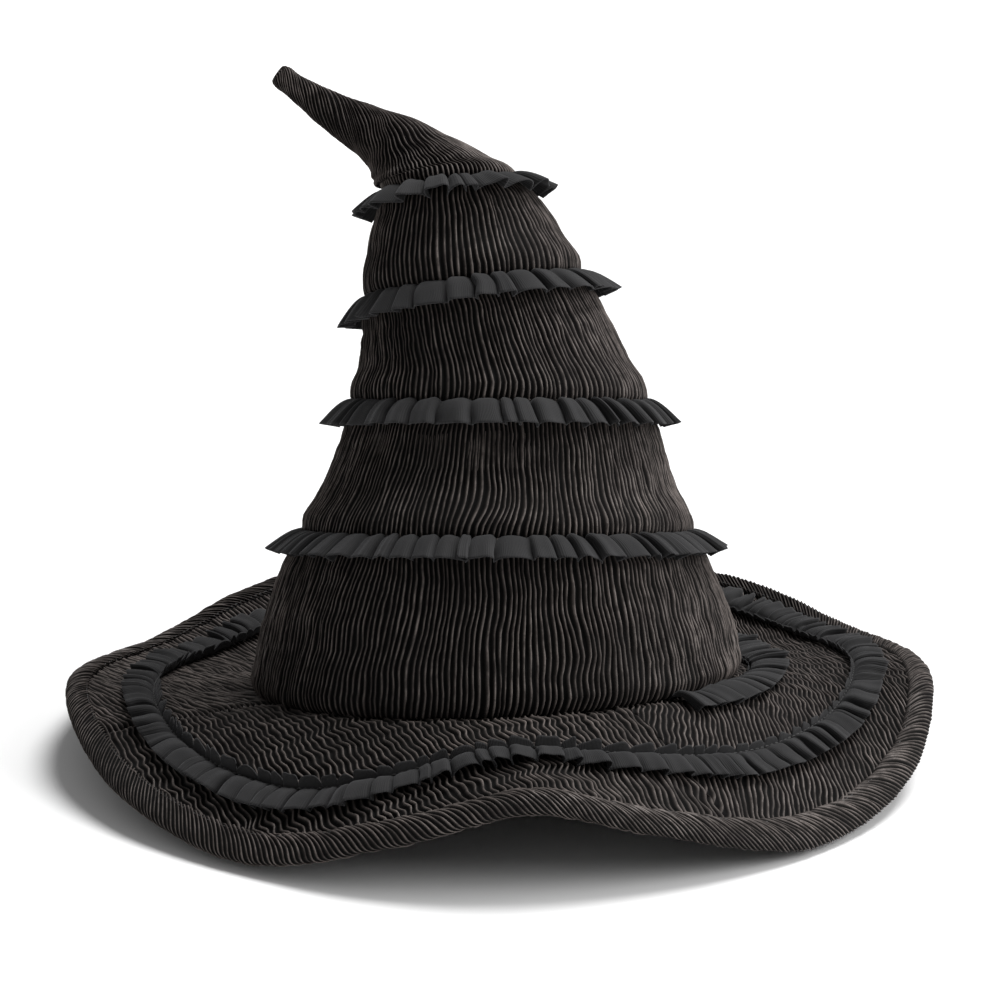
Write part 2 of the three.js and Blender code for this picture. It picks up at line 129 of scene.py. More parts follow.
class Axis:
    """The crown's leaning axis, with the half width and facing of each seam."""

    def __init__(self):
        places, along, width = [np.zeros(3)], [0.0], [FOOT_HALF_WIDTH]
        full, facing = [0.0], [(*FOOT_FACING, 0.0)]
        for step, half_width, fullness, tilt, lean_left in AXIS_STEPS:
            places.append(places[-1] + np.array(step, float))
            along.append(along[-1] + np.linalg.norm(step))
            width.append(half_width)
            full.append(fullness)
            facing.append((tilt, lean_left, 0.0))
        self.places, self.along = np.array(places), np.array(along)
        self.width, self.full = np.array(width, float), np.array(full)
        self.facing = np.radians(np.array(facing, float))
        self.horn, self.end = self.along[TIERS], self.along[-1]

    def station(self, along):
        i = np.clip(np.searchsorted(self.along, along, side="right") - 1, 0, len(self.along) - 2)
        return i, (along - self.along[i]) / (self.along[i + 1] - self.along[i])

    def half_width(self, along):
        i, t = self.station(np.asarray(along, float))
        bow = self.full[i + 1] * np.sin(np.pi * np.clip(t, 0, 1))
        return self.width[i] + (self.width[i + 1] - self.width[i]) * t + bow

    def ratio(self, along):
        share = np.clip(along / self.horn, 0, 1)
        return HEAD_LENGTH_RATIO + (1 - HEAD_LENGTH_RATIO) * share

    def frame(self, along):
        """The centre and the three directions of the ring at a length along the axis."""
        held = np.clip(along, 0, self.end)
        i, t = self.station(held)
        centre = through(self.places, i + t)
        facing = -through(self.facing, i + t)
        ca, sa = np.cos(facing[..., 0]), np.sin(facing[..., 0])
        cb, sb = np.cos(facing[..., 1]), np.sin(facing[..., 1])
        right = np.stack([cb, 0 * cb, -sb], -1)
        back = np.stack([sb * sa, ca, cb * sa], -1)
        up = np.stack([sb * ca, -sa, cb * ca], -1)
        return centre + up * (along - held)[..., None], right, back, up

    def bend(self, x, y, along):
        """The true place of a point drawn on the upright crown."""
        x, y, along = np.broadcast_arrays(*(np.asarray(v, float) for v in (x, y, along)))
        centre, right, back, _ = self.frame(along)
        return centre + right * x[..., None] + back * (y * self.ratio(along))[..., None]

    def ring(self, angle, reach, along):
        return self.bend(reach * np.cos(angle), reach * np.sin(angle), along)


axis = Axis()


def edge_height(degrees):
    """The brim edge's rise and fall, smooth through EDGE_WAVE's points and round the ring."""
    angle, height = (np.array(v, float) for v in zip(*EDGE_WAVE))
    angle = np.concatenate([angle[-2:] - 360, angle, angle[:2] + 360])
    height = np.concatenate([height[-2:], height, height[:2]])
    first = EDGE_WAVE[0][0]
    at = (np.asarray(degrees, float) - first) % 360 + first
    i = np.clip(np.searchsorted(angle, at, side="right") - 1, 1, len(angle) - 3)
    span = angle[i + 1] - angle[i]
    t = (at - angle[i]) / span
    rise_a = (height[i + 1] - height[i - 1]) / (angle[i + 1] - angle[i - 1]) * span
    rise_b = (height[i + 2] - height[i]) / (angle[i + 2] - angle[i]) * span
    return ((2 * t ** 3 - 3 * t ** 2 + 1) * height[i] + (t ** 3 - 2 * t ** 2 + t) * rise_a
            + (3 * t ** 2 - 2 * t ** 3) * height[i + 1] + (t ** 3 - t ** 2) * rise_b)


OPENING_UP = axis.frame(np.array(0.0))[3]


def brim_bend(x, y, lift=0.0):
    """The true place of a point drawn on the flat round brim, lift above it."""
    x, y, lift = np.broadcast_arrays(*(np.asarray(v, float) for v in (x, y, lift)))
    angle, reach = np.arctan2(y, x), np.hypot(x, y)
    held = np.minimum(reach, BRIM_FLAT)
    place = axis.ring(angle, held, 0 * held)
    share = np.maximum(0, (reach - BRIM_FLAT) / (BRIM_HALF_WIDTH - BRIM_FLAT))[..., None]
    edge = np.stack([BRIM_SHIFT + BRIM_HALF_WIDTH * np.cos(angle),
                     BRIM_HALF_LENGTH * np.sin(angle), edge_height(np.degrees(angle))], -1)
    power = np.concatenate([share, share, share ** BRIM_DROOP], -1)
    place = place + (edge - place) * power
    level = np.clip(share, 0, 1)
    up = OPENING_UP + (np.array([0.0, 0.0, 1.0]) - OPENING_UP) * level
    return place + up * lift[..., None]


def brim_normal(x, y):
    step = 1.0
    across = brim_bend(x + step, y) - brim_bend(x - step, y)
    away = brim_bend(x, y + step) - brim_bend(x, y - step)
    return unit(np.cross(across, away))


# ---- chance, the same each run ----------------------------------------------------------------


def rumple(u, v, seed, around=64, sharp=False):
    """Smooth random values from -1 to 1, one cell wide; u repeats after around cells. When
    sharp, they change in straight lines along v, with a corner at each cell."""
    cells = np.random.default_rng(seed).uniform(-1, 1, (around, 97))
    u, v = np.broadcast_arrays(np.asarray(u, float), np.asarray(v, float))
    i, j = np.floor(u).astype(int), np.floor(v).astype(int)
    s, t = u - i, v - j
    s, t = s * s * (3 - 2 * s), t if sharp else t * t * (3 - 2 * t)
    value = lambda a, b: cells[(i + a) % around, (j + b) % 97]
    near = value(0, 0) * (1 - s) + value(1, 0) * s
    far = value(0, 1) * (1 - s) + value(1, 1) * s
    return near * (1 - t) + far * t


def zigzag(turns):
    """A triangle wave from -1 to 1, its corners a little rounded."""
    return np.arcsin(0.97 * np.sin(2 * np.pi * turns)) / np.arcsin(0.97)


def ease(low, high, value):
    t = np.clip((value - low) / (high - low), 0, 1)
    return t * t * (3 - 2 * t)


# ---- meshes ------------------------------------------------------------------------------------


def grid_mesh(name, grids, ring=False, tube=False, size=(1.0, 1.0), fields=None):
    """A mesh of one or more grids of points. ring joins the last column to the first, and tube
    the last row to the first. size is the cloth's length and width, for its flat layout."""
    points, quads, layout, start = [], [], [], 0
    rows_of_layout = max(1, round(math.sqrt(size[0] / size[1])))
    for part, grid in enumerate(grids):
        columns, rows = grid.shape[:2]
        i = np.arange(columns if ring else columns - 1)
        j = np.arange(rows if tube else rows - 1)
        i, j = (a.ravel() for a in np.meshgrid(i, j, indexing="ij"))
        i2, j2 = (i + 1) % columns, (j + 1) % rows
        quads.append(start + np.stack([i * rows + j, i2 * rows + j, i2 * rows + j2, i * rows + j2], -1))
        per_row = math.ceil((i.max() + 1) / rows_of_layout)
        row, place = i // per_row, i % per_row
        corner_u = np.stack([place, place + 1, place + 1, place], -1) / per_row
        corner_v = np.stack([j, j, j + 1, j + 1], -1) / (j.max() + 1)
        u = 0.004 + 0.992 * corner_u
        v = (row[:, None] + 0.01 + 0.98 * corner_v) / rows_of_layout
        u = (u + part) / len(grids)
        layout.append(np.stack([u, v], -1))
        points.append(grid.reshape(-1, 3))
        start += columns * rows
    points, quads = np.concatenate(points) * MM, np.concatenate(quads)
    mesh = bpy.data.meshes.new(name)
    mesh.vertices.add(len(points))
    mesh.vertices.foreach_set("co", points.astype(np.float32).ravel())
    mesh.loops.add(quads.size)
    mesh.loops.foreach_set("vertex_index", quads.astype(np.int32).ravel())
    mesh.polygons.add(len(quads))
    mesh.polygons.foreach_set("loop_start", np.arange(0, quads.size, 4, dtype=np.int32))
    mesh.polygons.foreach_set("use_smooth", np.ones(len(quads), bool))
    uv = mesh.uv_layers.new(name="OFBake")
    uv.data.foreach_set("uv", np.concatenate(layout).astype(np.float32).ravel())
    for field, values in (fields or {}).items():
        flat = np.concatenate([np.asarray(v, np.float32).ravel() for v in values])
        mesh.attributes.new(field, "FLOAT", "POINT").data.foreach_set("value", flat)
    mesh.update()
    mesh.validate()
    piece = bpy.data.objects.new(name, mesh)
    bpy.context.scene.collection.objects.link(piece)
    return piece


def finish_piece(piece, body, slot, material, *nodes):
    piece.data.materials.append(material)
    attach(piece, body)
    if nodes:
        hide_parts(*nodes)
    return piece


# ---- shader maths ----------------------------------------------------------------------------------


class Socket:
    """A shader socket that can be used in arithmetic."""

    def __init__(self, tree, link):
        self.tree, self.link = tree, link

    def maths(self, operation, *values):
        named = {f"in{k}": value for k, value in enumerate(values)}
        return self.tree.node("ShaderNodeMath", {"operation": operation}, **named)["Value"]

    def __add__(self, other): return self.maths("ADD", self, other)
    def __radd__(self, other): return self.maths("ADD", other, self)
    def __sub__(self, other): return self.maths("SUBTRACT", self, other)
    def __rsub__(self, other): return self.maths("SUBTRACT", other, self)
    def __mul__(self, other): return self.maths("MULTIPLY", self, other)
    def __rmul__(self, other): return self.maths("MULTIPLY", other, self)
    def __pow__(self, other): return self.maths("POWER", self, other)

    def clipped(self):
        return self.tree.node("ShaderNodeClamp", None, Value=self)["Result"]

    def span(self, low, high, to_low=0.0, to_high=1.0):
        made = self.tree.node("ShaderNodeMapRange", {"interpolation_type": "SMOOTHSTEP"}, Value=self,
                              From_Min=low, From_Max=high, To_Min=to_low, To_Max=to_high)
        return made["Result"]


class Node:
    """The outputs of a node, by name."""

    def __init__(self, tree, made):
        self.tree, self.made = tree, made

    def __getitem__(self, name):
        return Socket(self.tree, self.made.outputs[name])


class Finish:
    """A material under construction."""

    def __init__(self, name):
        self.material = bpy.data.materials.new(name)
        self.material.use_nodes = True
        self.nodes = self.material.node_tree.nodes
        self.links = self.material.node_tree.links
        self.nodes.clear()

    def node(self, kind, settings=None, /, **values):
        made = self.nodes.new(kind)
        for name, value in (settings or {}).items():
            if name == "stops":
                ramp = made.color_ramp
                for k, (place, colour) in enumerate(value):
                    stop = ramp.elements[k] if k < 2 else ramp.elements.new(place)
                    stop.position, stop.color = place, (*colour, 1)
            else:
                setattr(made, name, value)
        for name, value in values.items():
            if name.startswith("in") and name[2:].isdigit():
                socket = made.inputs[int(name[2:])]
            else:
                socket = made.inputs[name.replace("_", " ")]
            if isinstance(value, Socket):
                self.links.new(value.link, socket)
            else:
                socket.default_value = value
        return Node(self, made)

    def field(self, name):
        return self.node("ShaderNodeAttribute", {"attribute_name": name})["Fac"]

    def place(self):
        return self.node("ShaderNodeTexCoord")["Object"]

    def noise(self, scale, detail=2.0, roughness=0.5, vector=None):
        made = self.node("ShaderNodeTexNoise", None, Vector=vector or self.place(), Scale=scale,
                         Detail=detail, Roughness=roughness)
        return made["Fac"]

    def mix(self, share, first, second):
        made = self.node("ShaderNodeMix", {"data_type": "RGBA"})
        for name, value in (("Factor", share), ("A", first), ("B", second)):
            kind = "VALUE" if name == "Factor" else "RGBA"
            socket = next(s for s in made.made.inputs if s.name == name and s.type == kind)
            if isinstance(value, Socket):
                self.links.new(value.link, socket)
            elif kind == "VALUE":
                socket.default_value = value
            else:
                socket.default_value = (*value, 1)
        return Socket(self, next(s for s in made.made.outputs if s.type == "RGBA"))

    def bump(self, height, strength, distance):
        made = self.node("ShaderNodeBump", None, Height=height, Strength=strength, Distance=distance)
        return made["Normal"]

    def surface(self, colour, roughness, normal=None, **constants):
        values = {"Base Color": colour, "Roughness": roughness}
        made = self.nodes.new("ShaderNodeBsdfPrincipled")
        for name, value in {**values, **constants}.items():
            socket = made.inputs[name.replace("_", " ")]
            if isinstance(value, Socket):
                self.links.new(value.link, socket)
            elif socket.type == "RGBA":
                socket.default_value = (*value, 1)
            else:
                socket.default_value = value
        if normal:
            self.links.new(normal.link, made.inputs["Normal"])
        out = self.nodes.new("ShaderNodeOutputMaterial")
        self.links.new(made.outputs[0], out.inputs["Surface"])
        return self.material


# ---- finishes --------------------------------------------------------------------------------------


def pleated_cloth():
    """Black crinkled polyester: its colour is painted near black down in the folds as painted shade, and
    lighter on the crests as a painted highlight; the crests also get a real coat gloss.
    """
    f = Finish("pleated cloth")
    ridge = f.field("ridge")
    patch = f.noise(30.0, 3.0).span(0.32, 0.68)
    thread = f.noise(1500.0, 2.0, 0.6)
    lint = f.noise(850.0, 1.0).span(0.70, 0.78)
    broken = f.noise(190.0, 3.0, 0.6).span(0.32, 0.66)
    # painted highlight: the crest mask picks out the ridge tops, broken up in patches and threads; the colour
    # is painted lighter there, and the same mask adds the real coat gloss and lowers the roughness
    crest = ridge.span(0.58, 1.0) * (0.5 + 0.5 * patch) * (0.35 + 0.85 * broken) * (0.75 + 0.5 * thread)
    # painted shade: the colour falls to near black down in the folds, following the ridge field
    folds = f.mix(ridge.span(0.25, 0.8), (0.0008, 0.0007, 0.0007), (0.0155, 0.0132, 0.0123))
    crest_painted_highlight = f.mix(crest.clipped(), folds, (0.125, 0.105, 0.096))
    # light lint specks, laid only on the crests over the painted highlight
    colour = f.mix(lint * crest * 0.5, crest_painted_highlight, (0.24, 0.22, 0.21))
    roughness = 0.95 - 0.3 * crest
    normal = f.bump(thread, 0.35, 0.0003)
    return f.surface(colour, roughness.clipped(), normal, Coat_Weight=(crest * 0.3).clipped(),
                     Coat_Roughness=0.4, Sheen_Weight=0.035, Sheen_Roughness=0.35,
                     Sheen_Tint=(0.55, 0.5, 0.47), Specular_IOR_Level=0.16)


def ribbed_ribbon(name, dark, light, rib=0.9):
    """Matt ribbed ribbon: the ribs run across it, and its colour is lighter in a thin strip where the across
    field nears 1.
    """
    f = Finish(name)
    along, across = f.field("along"), f.field("across")
    rib_turn = (along * (2 * math.pi / rib)).maths("SINE", along * (2 * math.pi / rib))
    thread = f.noise(1800.0, 2.0, 0.6)
    patch = f.noise(45.0, 3.0).span(0.3, 0.72)
    edge = across.span(0.93, 0.99)
    cloth = f.mix(patch, dark, light)
    edged = f.mix(edge * 0.5, cloth, tuple(2.1 * c for c in light))
    colour = f.mix((rib_turn * 0.5 + 0.5) * 0.6, edged, tuple(0.4 * c for c in dark))
    normal = f.bump(rib_turn * 0.6 + thread, 0.4, 0.0002)
    return f.surface(colour, 0.86 - 0.1 * thread, normal, Sheen_Weight=0.12, Sheen_Roughness=0.5,
                     Sheen_Tint=(0.6, 0.6, 0.62), Specular_IOR_Level=0.2)


def smooth_lining():
    f = Finish("lining cloth")
    weave = f.noise(1300.0, 1.0)
    patch = f.noise(30.0, 3.0)
    colour = f.mix(patch.span(0.3, 0.7), (0.010, 0.010, 0.011), (0.021, 0.020, 0.021))
    return f.surface(colour, 0.42 + 0.12 * weave, f.bump(weave, 0.2, 0.0001),
                     Sheen_Weight=0.15, Specular_IOR_Level=0.5)


def open_buckram():
    f = Finish("buckram")
    place = f.place()
    mesh = f.node("ShaderNodeTexVoronoi", {"feature": "DISTANCE_TO_EDGE"}, Vector=place, Scale=700.0)
    strand = mesh["Distance"].span(0.02, 0.12)
    colour = f.mix(strand, (0.035, 0.034, 0.033), (0.010, 0.010, 0.010))
    return f.surface(colour, 0.85, f.bump(strand, 0.6, 0.0003))


def fibre_filling():
    f = Finish("fibre filling")
    fluff = f.noise(260.0, 6.0, 0.7)
    colour = f.mix(fluff, (0.45, 0.43, 0.40), (0.82, 0.80, 0.76))
    return f.surface(colour, 0.95, f.bump(fluff, 0.8, 0.001), Sheen_Weight=0.3)


def drawn_wire():
    f = Finish("millinery wire")
    scratch = f.noise(900.0, 4.0)
    colour = f.mix(scratch, (0.28, 0.28, 0.27), (0.46, 0.46, 0.45))
    return f.surface(colour, 0.28 + 0.2 * scratch, f.bump(scratch, 0.2, 0.0001), Metallic=1.0)


def sewing_thread():
    f = Finish("sewing thread")
    twist = f.noise(2600.0, 2.0)
    colour = f.mix(twist, (0.004, 0.004, 0.004), (0.012, 0.011, 0.011))
    return f.surface(colour, 0.6, f.bump(twist, 0.4, 0.0001), Sheen_Weight=0.2)


CLOTH = pleated_cloth()
RIBBON = ribbed_ribbon("ruffle ribbon", (0.0105, 0.0103, 0.0108), (0.019, 0.0186, 0.0193))
BAND = ribbed_ribbon("sweatband ribbon", (0.012, 0.012, 0.013), (0.020, 0.020, 0.021), 1.4)
LINING = smooth_lining()
BUCKRAM = open_buckram()
FILLING = fibre_filling()
WIRE = drawn_wire()
THREAD = sewing_thread()

# ---- pleating ----------------------------------------------------------------------------------------


def pleat_height(turns):
    """From 0 in a fold to 1 on its ridge; the ridge is rounder than the fold."""
    return (0.5 + 0.5 * np.cos(2 * np.pi * turns)) ** 1.15


def pleated_crown(seed, rows, half_width, pleats, depth, crimp):
    """A closed wall of pleated cloth round the crown. rows are lengths along the axis, with the
    pleats' strength at each; half_width gives the wall's outer half width there."""
    along = np.array([row[0] for row in rows])
    strength = np.array([row[1] for row in rows])
    reach = np.array([half_width(row) for row in rows])
    columns = pleats * COLUMNS_PER_PLEAT
    turn = np.arange(columns)[:, None] / columns
    tall = along[None, :]
    thirds = max(6, round(pleats / 2.6))
    uneven_pitch = 0.42 * rumple(turn * thirds, tall / 45, seed + 8, thirds)
    height = pleat_height(turn * pleats + uneven_pitch)
    girth = 2 * np.pi * reach[None, :]
    # the lines wander together, kink where the cloth was crimped, and each wavers by itself
    cells = max(6, round(girth.max() / 38))
    wander = rumple(turn * cells, tall / 21, seed, cells) * 1.6
    level = tall / 8 + 0.5 * rumple(turn * cells, tall / 25, seed + 1, cells)
    kink = rumple(turn * cells, level, seed + 2, cells, True)
    own = rumple(turn * pleats, tall / 4.5, seed + 3, pleats) * 0.26
    hook = np.clip(1 - (tall - along.min()) / 11, 0, 1) ** 2
    hook = hook * (1.6 + 1.4 * rumple(turn * cells, 0.5, seed + 7, cells))
    shift = (wander + crimp * 1.5 * kink + own - hook) * strength
    uneven = 0.72 + 0.4 * rumple(turn * pleats, tall / 9, seed + 4, pleats)
    crease = rumple(turn * cells * 2, tall / 3.5, seed + 5, cells * 2) * 0.35
    sag = rumple(turn * max(4, cells // 2), tall / 26, seed + 6, max(4, cells // 2)) * 0.8
    lean = 0.3 * PLEAT * height * strength
    angle = 2 * np.pi * turn + (shift + lean) / np.maximum(reach, 2.0)
    out = reach + depth * strength * (height * uneven - 0.5) + (crease + sag) * strength
    return angle, out, np.broadcast_to(tall, out.shape), height * (0.75 + 0.25 * uneven)


def crown_wall(name, seed, rows, half_width, pleats, depth, crimp, node):
    angle, out, tall, ridge = pleated_crown(seed, rows, half_width, pleats, depth, crimp)
    grid = axis.ring(angle - np.pi / 2, out, tall)
    length = 2 * np.pi * out.max()
    width = sum(abs(b[0] - a[0]) for a, b in zip(rows, rows[1:])) + 1
    piece = grid_mesh(name, [grid], ring=True, tube=True, size=(length, width), fields={"ridge": [ridge]})
    return finish_piece(piece, "crown", "pleated_cloth", CLOTH, node)


WALL = 2.6


def inner_rows(low, high):
    """The smooth inside of a wall, from its upper edge back to its lower one."""
    return [(high - 0.4, 0.15, -1.6), (high - 1.2, 0.0, -WALL),
            (low + 1.2, 0.0, -WALL), (low + 0.3, 0.15, -1.6)]


def tier_wall(i):
    """A tier above the first: pinched into the seam below it, full just above it."""
    low, high = axis.along[i] - 0.5, axis.along[i + 1] - 0.5
    count = round((high - low) / 2.3)
    rows = []
    for along in np.linspace(low, high, count):
        pinch = (-1.5 * math.exp(-(((along - low) / 2.2) ** 2))
                 + 1.6 * math.exp(-(((along - low - 8) / 6) ** 2)))
        tuck = -1.6 * ease(high - 4, high, along)
        rows.append((along, 1.0, pinch + tuck))
    rows += inner_rows(low, high)
    middle = 0.5 * (axis.width[i] + axis.width[i + 1])
    pleats = round(2 * np.pi * middle / 2.25)
    half_width = lambda row: float(axis.half_width(row[0])) + row[2]
    return crown_wall(f"crown tier {i + 1} cloth".replace(" ", "_"), 40 * i + 7, rows, half_width,
                      pleats, 1.8, 0.6, f"crown_tier_{i + 1}")


def foot_wall():
    """The first tier, puffed out over the brim and rolled under to its seam."""
    high = axis.along[1] - 0.5
    turn_in = FOOT_HALF_WIDTH - FOOT_ROLL * 0.5
    rows = [(0.6, 0.5, 97.0), (0.7, 0.75, 101.0)]
    for bend in np.linspace(-80, -10, 6):
        a = math.radians(bend)
        rows.append((FOOT_ROLL + FOOT_ROLL * 0.92 * math.sin(a), 0.9, turn_in - 2.2 + 4.6 * math.cos(a)))
    for along in np.linspace(FOOT_ROLL, high, 27):
        tuck = -1.6 * float(ease(high - 4, high, along))
        rows.append((along, 1.0, float(axis.half_width(along)) + tuck))
    rows += [(high - 0.4, 0.15, 84.0), (high - 1.2, 0.0, 82.5),
             (14, 0.0, 101.0), (3.4, 0.0, 100.0), (3.0, 0.1, 97.0)]
    pleats = round(2 * np.pi * 99 / 2.45)
    return crown_wall("crown_tier_1_cloth", 3, rows, lambda row: row[2], pleats, 2.0, 0.8, "crown_tier_1")


# ---- the horn ----------------------------------------------------------------------------------------


def horn_cover():
    """The bent horn, closed at its blunt tip. Pleats merge as it narrows."""
    pleats, columns = 88, 88 * COLUMNS_PER_PLEAT
    low = axis.along[TIERS] - 0.5
    along = np.concatenate([[low + 5, low + 1.5, low], np.linspace(low + 0.6, axis.end, 66)[1:]])
    turn = np.arange(columns)[:, None] / columns
    base = axis.half_width(along)
    base[:3] += (-5, -4, -1.2)
    flare = 0.9 * np.exp(-(((along - axis.end + 2) / 3.5) ** 2))
    base = (base + flare)[None, :]
    tall = np.broadcast_to(along[None, :], (columns, len(along)))
    full = ease(13, 21, base)
    half = ease(6, 11, base) * (1 - full)
    height = (full * pleat_height(turn * pleats) + half * pleat_height(turn * pleats / 2)
              + (1 - full - half) * pleat_height(turn * pleats / 4))
    wander = rumple(turn * 9, tall / 15, 301, 9) * 1.3 + rumple(turn * pleats, tall / 5, 302, pleats) * 0.25
    kink = 0.25 * zigzag(tall / 9 + 0.5 * rumple(turn * 6, tall / 20, 303, 6)) * ease(6, 14, base)
    depth = 1.7 * ease(1, 15, base) + 0.3
    dents = rumple(turn * 7, tall / 11, 304, 7) * 1.1 * ease(3, 16, base)
    # folds across the inside of the bend
    pivot_along = 0.5 * (axis.along[TIERS + 2] + axis.along[TIERS + 3])
    inside = np.clip(-np.cos(2 * np.pi * turn - 0.35), 0, 1) ** 1.5
    across = np.cos((tall - pivot_along + 8) * 2 * np.pi / 8.5)
    folds = 0.45 * inside * across * np.exp(-(((tall - pivot_along + 9) / 12) ** 2))
    out = base + depth * (height - 0.5) + dents + folds
    # the pleats wind up over the bend instead of following it
    winding = (0.35 + 0.6 * ease(low + 6, low + 45, along)) / np.maximum(base[0], 4.5)
    wound = np.concatenate([[0], np.cumsum(winding[1:] * np.diff(along))])
    wound = wound - wound[2]
    angle = 2 * np.pi * turn + (wander + kink + 0.3 * height) / np.maximum(base, 3) + wound[None, :]
    body = axis.ring(angle, out, tall)
    # the blunt end puckers inward
    rings = []
    for share, rise in ((0.82, 1.1), (0.5, 1.3), (0.2, 0.7), (0.03, 0.3)):
        rings.append(axis.ring(angle[:, -1], out[:, -1] * share, np.full(columns, axis.end + rise)))
    grid = np.concatenate([body, np.stack(rings, 1)], 1)
    ridge = np.concatenate([height, np.repeat(height[:, -1:], 4, 1)], 1)
    piece = grid_mesh("horn_cloth", [grid], ring=True, size=(190, 95), fields={"ridge": [ridge]})
    piece.data.materials.append(CLOTH)
    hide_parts("horn_stem", "horn_tip")
    return piece


def horn_filling():
    """Fibre filling, loose inside the horn."""
    columns = 48
    low = axis.along[TIERS] + 2
    along = np.linspace(low, axis.end - 3, 36)
    turn = np.arange(columns)[:, None] / columns
    base = np.maximum(axis.half_width(along)[None, :] - 3.4, 0.4)
    tall = np.broadcast_to(along[None, :], (columns, len(along)))
    out = base * (1 + 0.05 * rumple(turn * 8, tall / 7, 311, 8))
    body = axis.ring(2 * np.pi * turn, out, tall)
    foot = axis.ring(2 * np.pi * turn, out[:, :1] * 0.05, tall[:, :1] - 0.5)
    top = axis.ring(2 * np.pi * turn, out[:, -1:] * 0.05, tall[:, -1:] + 0.5)
    piece = grid_mesh("horn_filling", [np.concatenate([foot, body, top], 1)], ring=True, size=(150, 90))
    piece.data.materials.append(FILLING)
    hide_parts("stem_wadding", "tip_wadding")
    return piece


def bend_at_joint(piece):
    joint = next(j for j in frame["joints"] if j["name"] == "tip_bend")
    pivot = np.array(joint["pos_m"])
    along = 0.5 * (axis.along[TIERS + 2] + axis.along[TIERS + 3])
    up = axis.frame(np.array(along))[3]
    reach = 13 * MM
    tuple(pivot - up * reach)
    tuple(pivot + up * reach)
    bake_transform(piece)


# ---- gathered ribbon ---------------------------------------------------------------------------------


class Gathers:
    """The folds of a gathered ribbon: uneven, each leaning its own way."""

    def __init__(self, seed, folds, ring):
        chance = np.random.default_rng(seed)
        widths = chance.uniform(0.45, 1.75, folds)
        self.ends = np.concatenate([[0], np.cumsum(widths)]) / widths.sum()
        self.folds = folds
        self.tall = chance.uniform(0.45, 1.3, folds + 1)
        self.lean = chance.uniform(-0.9, 1.1, folds + 1)
        self.drop = chance.uniform(-1.0, 1.0, folds + 1)
        if ring:
            for values in (self.tall, self.lean, self.drop):
                values[-1] = values[0]

    def at(self, share):
        """Folds passed, and this place's fold height, lean and droop."""
        turns = np.interp(share, self.ends, np.arange(self.folds + 1))
        knots = np.arange(self.folds + 1)
        return (turns, np.interp(turns, knots, self.tall), np.interp(turns, knots, self.lean),
                np.interp(turns, knots, self.drop))


def folded(turns, tall, lean):
    """How far the ribbon rises and slides over in its folds, which partly hide each other."""
    from_pinch = turns - np.round(turns)
    wave = np.sin(2 * np.pi * from_pinch)
    pinch = np.exp(-((from_pinch / 0.16) ** 2))
    rise = tall * (1.6 - 5.0 * pinch) + 2.0 * lean * wave
    slide = -1.6 * tall * wave * np.exp(-((from_pinch / 0.3) ** 2)) + 2.4 * lean * pinch
    return rise, slide


RIBBON_THICKNESS = 0.45
CROWN_RIBBON_WIDTH = 16.5
BRIM_RIBBON_WIDTH = 18
# a ribbon is cut this many times as long as the line it is gathered on
FULLNESS = 1.9
COLUMNS_PER_FOLD = 20


def ribbon_piece(name, grid, along, across, width, cut_length, node, ring):
    fields = {"along": [np.broadcast_to(along[:, None], grid.shape[:2])],
              "across": [np.broadcast_to(across[None, :], grid.shape[:2])]}
    piece = grid_mesh(name, [grid], ring=ring, size=(cut_length, width), fields=fields)
    thick = piece.modifiers.new("ribbon thickness", "SOLIDIFY")
    thick.thickness, thick.offset = RIBBON_THICKNESS * MM, 0.0
    thick.use_even_offset = False
    finish_piece(piece, "crown", "ribbon", RIBBON, node)
    return piece


def crown_ruffle(i):
    """A ribbon gathered into the seam above tier i, flaring out and down over it."""
    seam = axis.along[i] - 0.4
    girth = 2 * np.pi * axis.width[i]
    # the folds are longer on the ruffles higher up
    folds = round(girth / (7.4 + 0.8 * i))
    columns, rows = folds * COLUMNS_PER_FOLD, 15
    share = np.arange(columns) / columns
    gathers = Gathers(500 + i, folds, True)
    turns, tall, lean, drop = (v[:, None] for v in gathers.at(share))
    across = np.linspace(0, 1, rows)[None, :]
    angle = 2 * np.pi * share - np.pi / 2
    root = axis.ring(angle, np.full(columns, axis.width[i] - 1.8), np.full(columns, seam))[:, None]
    lower = np.full(columns, seam - 12)
    below = axis.ring(angle, axis.half_width(lower), lower)[:, None]
    along_seam = unit(np.roll(root, -1, 0) - np.roll(root, 1, 0))
    down = unit(below - root)
    out = unit(np.cross(along_seam, -down))
    # the ribbon leaves the seam outwards and then falls
    fall = np.radians(16 + 62 * np.exp(-across / 0.22) + 9 * drop * across)
    step = CROWN_RIBBON_WIDTH / (rows - 1)
    run_out = np.cumsum(np.sin(fall), 1) * step - np.sin(fall[:, :1]) * step
    run_down = np.cumsum(np.cos(fall), 1) * step - np.cos(fall[:, :1]) * step
    open_up = 0.2 + 0.8 * across ** 0.8
    rise, slide = folded(turns, tall, lean)
    rise, slide = 1.4 * rise * open_up, 1.25 * slide * open_up
    slide = slide + 1.6 * rumple(share[:, None] * 17, 2 * across, 520 + i, 17) * across
    ribbon_normal = out * np.cos(fall)[..., None] - down * np.sin(fall)[..., None]
    run_down = run_down * (1 + 0.09 * tall * drop) * (1 + 0.035 * rise)
    grid = (root + out * (run_out + 0.9)[..., None] + down * run_down[..., None]
            + ribbon_normal * rise[..., None] + along_seam * slide[..., None])
    node, cut_length = f"crown_ruffle_{i}", girth * FULLNESS
    return ribbon_piece(f"{node}_ribbon", grid, share * cut_length, across[0], CROWN_RIBBON_WIDTH,
                        cut_length, node, True)


